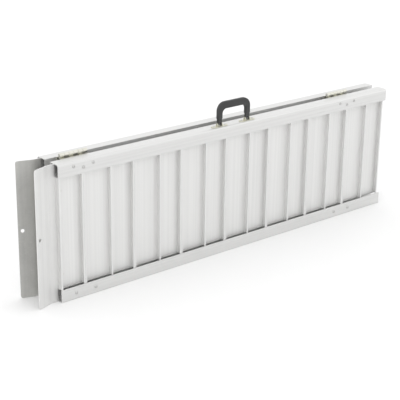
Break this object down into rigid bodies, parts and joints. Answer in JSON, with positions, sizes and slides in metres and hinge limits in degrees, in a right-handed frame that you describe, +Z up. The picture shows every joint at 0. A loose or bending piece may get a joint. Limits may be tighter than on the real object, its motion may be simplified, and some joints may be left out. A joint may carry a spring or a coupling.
{
  "type": "folding dog ramp",
  "caption": "Bifold aluminium dog ramp, folded lengthwise on two hinges, with a bent tongue on each half and a black folding carry handle.",
  "frame": {"origin": "on the floor, midway between the halves and midway between the tongue tips and the ground end", "axes": "+X along the ramp towards its ground end, -Y outside the half that carries the handle, +Z up"},
  "size_m": [1.288, 0.1012, 0.4505],
  "materials": {
    "rail_aluminium": "satin anodised, fine lengthwise grain",
    "plank_aluminium": "mill extrusion, fine lines across the ramp",
    "tongue_aluminium": "mill sheet, satin",
    "rivet_aluminium": "bright",
    "rubber": "matt black",
    "plated_hinge": "satin plating",
    "steel_pin": "drawn bar",
    "zinc_fasteners": "zinc plated",
    "nickel_bracket": "nickel plated",
    "handle_plastic": "fine grained black"
  },
  "bodies": {
    "front_half": {"front_inner_rail": "rail_aluminium", "front_outer_rail": "rail_aluminium", "front_end_plank": "plank_aluminium", "front_plank_1": "plank_aluminium", "front_plank_2": "plank_aluminium", "front_plank_3": "plank_aluminium", "front_plank_4": "plank_aluminium", "front_plank_5": "plank_aluminium", "front_plank_6": "plank_aluminium", "front_plank_7": "plank_aluminium", "front_tongue": "tongue_aluminium", "front_tongue_rivets": "rivet_aluminium", "front_hinge_bolts": "zinc_fasteners", "front_hinge_nuts": "zinc_fasteners", "front_bumpers": "rubber", "front_bumper_bolts": "zinc_fasteners", "front_bumper_nuts": "zinc_fasteners", "left_hinge_front_leaf": "plated_hinge", "right_hinge_front_leaf": "plated_hinge", "left_hinge_pin": "steel_pin", "right_hinge_pin": "steel_pin", "handle_left_bracket": "nickel_bracket", "handle_right_bracket": "nickel_bracket", "handle_pins": "steel_pin", "handle_bracket_screws": "zinc_fasteners"},
    "rear_half": {"rear_inner_rail": "rail_aluminium", "rear_outer_rail": "rail_aluminium", "rear_end_plank": "plank_aluminium", "rear_plank_1": "plank_aluminium", "rear_plank_2": "plank_aluminium", "rear_plank_3": "plank_aluminium", "rear_plank_4": "plank_aluminium", "rear_plank_5": "plank_aluminium", "rear_plank_6": "plank_aluminium", "rear_plank_7": "plank_aluminium", "rear_tongue": "tongue_aluminium", "rear_tongue_rivets": "rivet_aluminium", "rear_hinge_bolts": "zinc_fasteners", "rear_hinge_nuts": "zinc_fasteners", "rear_bumpers": "rubber", "rear_bumper_bolts": "zinc_fasteners", "rear_bumper_nuts": "zinc_fasteners", "left_hinge_rear_leaf": "plated_hinge", "right_hinge_rear_leaf": "plated_hinge"},
    "handle": {"handle": "handle_plastic"}
  },
  "joints": [
    {"name": "ramp_fold", "type": "hinge", "parent": "front_half", "child": "rear_half", "pos_m": [0.034, 0, 0.387], "axis": [1, 0, 0], "range_deg": [0, 180]},
    {"name": "handle_fold", "type": "hinge", "parent": "front_half", "child": "handle", "pos_m": [0.016, -0.036, 0.3875], "axis": [1, 0, 0], "range_deg": [0, 90]}
  ],
  "couplings": [
    {"joint": "handle_fold", "follows": "ramp_fold", "ratio": 0.5}
  ]
}
